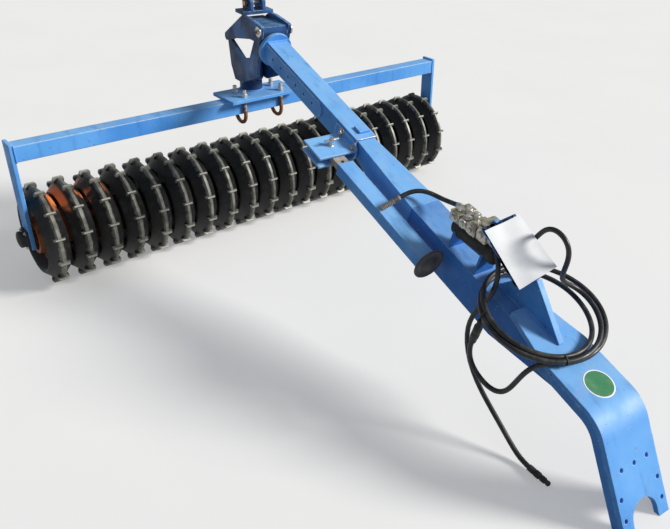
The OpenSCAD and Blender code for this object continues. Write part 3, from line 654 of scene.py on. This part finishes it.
# The sleeve's end gets a bright steel bead: partly a worn edge, partly a painted highlight where the edge catches
# light.
weld("sleeve_edge", girth(60, 1017, -58, 58), "arm", 0.003, BRIGHT, True)
bracket = bmesh.new()
for ahead, up in ((895, 28), (1011, 8)):
    hex_bolt(bracket, at(-72, ahead, up) @ LEFT, 0.024)
piece("bracket_bolts", bracket, "arm", BRIGHT, False, ARM)
block = bmesh.new()
box_into(block, (0.070, 0.056, 0.014), at(15, 948, 67))
piece("arm_block", block, "arm", BLUE, False, ARM)
for name, x in (("gusset_weld_left", -10), ("gusset_weld_right", 10)):
    weld(name, [arm_point(x, ahead, up) for ahead, up in GUSSET_FOOT], "arm", 0.005)
weld("box_weld", girth(86, 1560, -138, 50), "arm", 0.004)

# Stand: its pin with a cross handle and a collar, and a dished foot.
STAND_X, PIN_AHEAD = -172, 950
handle = bmesh.new()
lathe(handle, [(0, -0.045), (0.006, -0.043), (0.006, 0.043), (0, 0.045)], at(STAND_X, PIN_AHEAD, 38) @ RIGHT, 14)
lathe(handle, [(0, 0), (0.0185, 0), (0.0185, 0.006), (0, 0.006)], at(STAND_X, PIN_AHEAD, 2), 24)
piece("pin_handle", handle, "arm", BRIGHT, True, ARM)
FOOT = [(0, 0), (0.080, 0), (0.082, 0.002), (0.082, 0.008), (0.080, 0.010), (0.074, 0.010), (0.070, 0.006),
        (0.030, 0.006), (0.026, 0.010), (0, 0.010)]
foot = bmesh.new()
lathe(foot, FOOT, at(STAND_X, 1850, -28) @ AHEAD, 56)
foot = piece("stand_disc", foot, "stand", GREY, True, ARM)
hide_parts("stand_foot")

# Accumulator with domed ends, a neck and clamp bands.
BOTTLE = [(0, 0), (0.020, 0.001), (0.034, 0.006), (0.042, 0.016), (0.045, 0.030), (0.045, 0.054), (0.0475, 0.055),
          (0.0475, 0.067), (0.045, 0.068), (0.045, 0.243), (0.0475, 0.244), (0.0475, 0.256), (0.045, 0.257),
          (0.045, 0.272), (0.041, 0.288), (0.031, 0.298), (0.020, 0.301), (0.020, 0.310), (0, 0.310)]
bottle = bmesh.new()
lathe(bottle, BOTTLE, AHEAD, 48)
bottle = piece("gas_bottle", bottle, "arm", BLACK, True, PACK)
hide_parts("accumulator")

# Valve: a machined body in three sections with a taller head ahead of them, plugs, port nuts and two round caps.
# A block is its size, its place and its rounding; a cap its place ahead, its radius and its height; a plug or a nut
# its width across the flats and its height.
BLOCKS = [((0.110, 0.062, 0.052), (0, -0.033, 0.0712), 0.004), ((0.100, 0.052, 0.044), (0, -0.090, 0.0672), 0.004),
          ((0.108, 0.058, 0.052), (0, -0.146, 0.0712), 0.004), ((0.094, 0.062, 0.074), (0, -0.208, 0.0822), 0.005),
          ((0.078, 0.050, 0.030), (0, -0.208, 0.1340), 0.008)]
CAPS = [(-0.062, 0.017, 0.035), (-0.118, 0.015, 0.031)]
SECTIONS = (-0.033, -0.090, -0.146)
PLUG, PORT_NUT, HEAD_NUT = (0.022, 0.010), (0.024, 0.012), (0.030, 0.014)
valve, plugs = bmesh.new(), bmesh.new()
for size, place, bevel in BLOCKS:
    box_into(valve, size, moved(*place), bevel)
for y in SECTIONS:
    for x in (-0.028, 0.028):
        hex_bolt(plugs, moved(x, y, 0.094), *PLUG)
    hex_bolt(plugs, moved(-0.053, y, 0.070) @ LEFT, *PORT_NUT)
hex_bolt(plugs, moved(-0.046, -0.208, 0.085) @ LEFT, *HEAD_NUT)
for y, radius, height in CAPS:
    lathe(plugs, [(0, 0), (radius, 0), (radius, height - 0.005), (radius - 0.003, height - 0.001), (0, height)],
          moved(0, y, 0.088), 28)
valve = piece("valve_body", valve, "arm", BRASSY, False, PACK)
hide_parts("valve_block")
piece("valve_plugs", plugs, "arm", BRIGHT, False, PACK)

# Hose ends: pressed ferrules and nuts, the ribbed crimp over the leg, and the two couplers.
FERRULE = [(0.0118, 0.046), (0.0150, 0.045), (0.0150, 0.034), (0.0138, 0.033), (0.0150, 0.031), (0.0150, 0.022),
           (0.0138, 0.021), (0.0150, 0.019), (0.0150, 0.012), (0.0110, 0.010), (0.0110, 0.0)]
RIBS, RIB_PITCH = 8, 0.009
RIB = [(0.0139, 0.0050), (0.0139, 0.0095), (0.0108, 0.0105), (0.0108, 0.0130)]
COUPLER = [(0, 0), (0.0125, 0), (0.0125, 0.012), (0.017, 0.014), (0.017, 0.040), (0.0195, 0.042), (0.0195, 0.066),
           (0.018, 0.068), (0.018, 0.074), (0.0195, 0.076), (0.0195, 0.108), (0.015, 0.112), (0.015, 0.144),
           (0.012, 0.148), (0, 0.149)]
GROUND_END = [(0.011, -0.004), (0.0150, 0.0), (0.0150, 0.030), (0.012, 0.032), (0.012, 0.036), (0.0158, 0.038),
              (0.0158, 0.062), (0.0125, 0.064), (0.0125, 0.072), (0.0140, 0.074), (0.0140, 0.094), (0.0105, 0.097),
              (0.0105, 0.104), (0.0120, 0.106), (0.0115, 0.116), (0.007, 0.120), (0, 0.120)]
ferrules = bmesh.new()
for line in (feed_line, coil_line, hang_line):
    place = aim(line[0], line[1] - line[0])
    lathe(ferrules, FERRULE, place, 24)
    hex_bolt(ferrules, place, 0.027, 0.010, washer=False)
piece("hose_ferrules", ferrules, "arm", BRIGHT)
crimp_place = at(-215, 1490, 23) @ turned(67, "Y")
ribs = [(radius, height + RIB_PITCH * i) for i in range(RIBS) for radius, height in RIB]
crimp = bmesh.new()
lathe(crimp, [(0, 0), (0.009, 0), (0.009, 0.004)] + ribs + [(0.0125, 0.078), (0.0125, 0.112), (0, 0.112)],
      crimp_place, 28)
crimp = piece("crimp_sleeve", crimp, "arm", CRIMP, False, ARM)
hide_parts("hose_fitting")
nut = bmesh.new()
hex_bolt(nut, crimp_place @ moved(0, 0, 0.080), 0.0255, 0.026, washer=False)
nut = piece("crimp_nut", nut, "arm", GREY, False, ARM)
coupler = bmesh.new()
lathe(coupler, COUPLER, at(-240, 2290, -76.2), 32)
coupler = piece("hanging_coupler", coupler, "arm", BLACK, True, ARM)
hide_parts("couplings")
ground = bmesh.new()
lathe(ground, GROUND_END, aim(hang_line[-1], KING.to_3x3() @ Vector((0, -1, 0))), 32)
ground = piece("ground_coupling", ground, "arm", BLACK)
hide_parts("couplings")
hose("feed_hose", feed_line, ["hose_feed"])
hose("coiled_hose", coil_line, ["hose_top", "hose_coil", "hose_short"])
hose("ground_hose", hang_line, ["hose_hang"])

# Ties round the coil: flat bands, drawn tight over the strands that lie at an angle. A band's section is given as
# (distance from a strand's middle, distance along the hose) in millimetres.
TIE_ANGLES, TIE_SIDES = (110, 200, 270), 36
TIE_BAND = [(11.4, -4), (13.0, -4), (13.0, 4), (11.4, 4)]
ties = bmesh.new()
for angle in TIE_ANGLES:
    a = math.radians(angle)
    strands = [strand(turn) for turn in range(angle, COIL_END + 1, 360)]
    hoops = []
    for radius, width in TIE_BAND:
        hoop = []
        for k in range(TIE_SIDES):
            c, d = math.cos(2 * math.pi * k / TIE_SIDES), math.sin(2 * math.pi * k / TIE_SIDES)
            out, up = max(strands, key=lambda lies: lies[0] * c + lies[1] * d)
            ring = COIL_RADIUS + out + radius * c
            hoop.append(ties.verts.new(((COIL_CENTRE[0] + ring * math.cos(a) - width * math.sin(a)) / 1000,
                                        -(COIL_CENTRE[1] + ring * math.sin(a) + width * math.cos(a)) / 1000,
                                        (COIL_LEVEL + up + radius * d) / 1000)))
        hoops.append(hoop)
    for low, high in zip(hoops, hoops[1:] + hoops[:1]):
        for k in range(TIE_SIDES):
            ties.faces.new((low[k], low[k - 1], high[k - 1], high[k]))
piece("coil_ties", ties, "arm", BLACK, True, ARM)

# A plain round sticker on the plate, with a pale rim.
STICKER = at(8, 2768, PLATE_LEVEL)
sticker, rim = bmesh.new(), bmesh.new()
lathe(sticker, [(0, 0.0012), (0.0635, 0.0012), (0.0637, 0.0002)], STICKER, 64)
piece("plain_sticker", sticker, "arm", GREEN, False, ARM)
lathe(rim, [(0.0633, 0.0010), (0.0685, 0.0010), (0.0695, 0.0002)], STICKER, 64)
piece("sticker_rim", rim, "arm", PAPER, False, ARM)

# A blank sheet of paper on a sloping tray over hoses and gusset: corners in millimetres, and the count of meshes
# across and ahead.
CORNERS = [(-102, 2030, 314), (86, 2034, 348), (86, 2312, 288), (-100, 2308, 222)]
ACROSS, ALONG, TRAY = 16, 24, 8


def sheet_point(u, v, lift):
    """A place on the sloping sheet, u across and v ahead, in the arm's frame in metres."""
    left = Vector(CORNERS[0]).lerp(Vector(CORNERS[3]), v)
    x, ahead, up = left.lerp(Vector(CORNERS[1]).lerp(Vector(CORNERS[2]), v), u)
    return Vector((x / 1000, -ahead / 1000, (up + lift) / 1000))


def curl(u, v):
    """How far the paper waves and lifts off its tray, in millimetres."""
    return 1.2 * math.sin(9 * u + 4 * v) + 9 * u ** 4 * (v - 0.5) ** 2


def surface(bm, rows):
    """Faces between rows of points."""
    rows = [[bm.verts.new(point) for point in row] for row in rows]
    for low, high in zip(rows, rows[1:]):
        for k in range(len(low) - 1):
            bm.faces.new((low[k], low[k + 1], high[k + 1], high[k]))


paper, tray = bmesh.new(), bmesh.new()
surface(paper, [[sheet_point(j / ACROSS, i / ALONG, curl(j / ACROSS, i / ALONG)) for j in range(ACROSS + 1)]
                for i in range(ALONG + 1)])
surface(tray, [[sheet_point(-0.05 + 0.98 * j / TRAY, -0.055 + i / TRAY, -2.2) for j in range(TRAY + 1)]
               for i in range(TRAY + 1)])
bmesh.ops.solidify(tray, geom=tray.faces[:], thickness=0.004)
box_into(tray, (0.030, 0.020, 0.022), at(-20, 2010, 320))
box_into(tray, (0.026, 0.024, 0.024), at(0, 2294, 242))
tray = piece("sheet_tray", tray, "arm", SHADED_BLUE, False, ARM)
paper = piece("blank_sheet", paper, "arm", PAPER, True, ARM)

# Flat bar along the gusset's sloping edge.
BAR_SIZE, BAR_SLOPE = (0.030, 0.284, 0.006), 35.9
bar = bmesh.new()
box_into(bar, BAR_SIZE, at(0, 2427.8, 159.4) @ turned(BAR_SLOPE, "X"), 0.0015)
piece("gusset_bar", bar, "arm", BLUE, False, ARM)

# Camera at the photograph's place: its eye in metres, its angles, and its focal length and the point that it looks
# straight at in the photograph's pixels.
PHOTO_WIDTH, PHOTO_HEIGHT, SENSOR = 670, 529, 36
FOCAL, STRAIGHT_X, STRAIGHT_Y = 737.66, 396.71, 263.72
EYE = (-2.46946, -4.07956 + BEAM_Y, 2.37238)
YAW, PITCH_DOWN, ROLL = math.radians(42.70), math.radians(30.44), math.radians(-2.69)
camera_data = bpy.data.cameras.new("camera")
camera = linked("camera", camera_data)
bpy.context.scene.camera = camera
forward = Vector((math.sin(YAW) * math.cos(PITCH_DOWN), math.cos(YAW) * math.cos(PITCH_DOWN), -math.sin(PITCH_DOWN)))
level = Vector((math.cos(YAW), -math.sin(YAW), 0))
down = forward.cross(level)
right, down = (level * math.cos(ROLL) + down * math.sin(ROLL), down * math.cos(ROLL) - level * math.sin(ROLL))
basis = Matrix((right, -down, -forward)).transposed().to_4x4()
camera.matrix_world = Matrix.Translation(EYE) @ basis
camera_data.sensor_width = SENSOR
camera_data.lens = FOCAL / PHOTO_WIDTH * SENSOR
camera_data.shift_x = -(STRAIGHT_X - PHOTO_WIDTH / 2) / PHOTO_WIDTH
camera_data.shift_y = (STRAIGHT_Y - PHOTO_HEIGHT / 2) / PHOTO_WIDTH

# Pale floor, an even sky with a paler backdrop where it is looked at, and one soft sun from the right and ahead.
FLOOR = 30
SKY, BACKDROP = (0.258, 0.276, 0.300, 1), (0.840, 0.840, 0.835, 1)
SUN_FROM, SUN_ENERGY, SUN_ANGLE, SUN_COLOUR = (0.62, -0.56, 0.47), 4.1, 16, (1.0, 0.97, 0.92)
floor_mesh = bpy.data.meshes.new("floor")
floor_mesh.from_pydata([(-FLOOR, -FLOOR, 0), (FLOOR, -FLOOR, 0), (FLOOR, FLOOR, 0), (-FLOOR, FLOOR, 0)], [],
                       [(0, 1, 2, 3)])
floor = linked("floor", floor_mesh)
floor_mesh.materials.append(pale_floor("pale_floor"))
world = bpy.data.worlds.new("sky")
bpy.context.scene.world = world
world.use_nodes = True
nodes, links = world.node_tree.nodes, world.node_tree.links
sky, backdrop, path = nodes["Background"], nodes.new("ShaderNodeMix"), nodes.new("ShaderNodeLightPath")
backdrop.data_type = "RGBA"
backdrop.inputs[6].default_value = SKY
backdrop.inputs[7].default_value = BACKDROP
links.new(path.outputs["Is Camera Ray"], backdrop.inputs[0])
links.new(backdrop.outputs[2], sky.inputs[0])
sun_data = bpy.data.lights.new("sun", "SUN")
sun_data.energy = SUN_ENERGY
sun_data.angle = math.radians(SUN_ANGLE)
sun_data.color = SUN_COLOUR
sun = linked("sun", sun_data)
sun.rotation_euler = Vector(SUN_FROM).to_track_quat("Z", "Y").to_euler()
bpy.context.scene.view_settings.view_transform = "Standard"
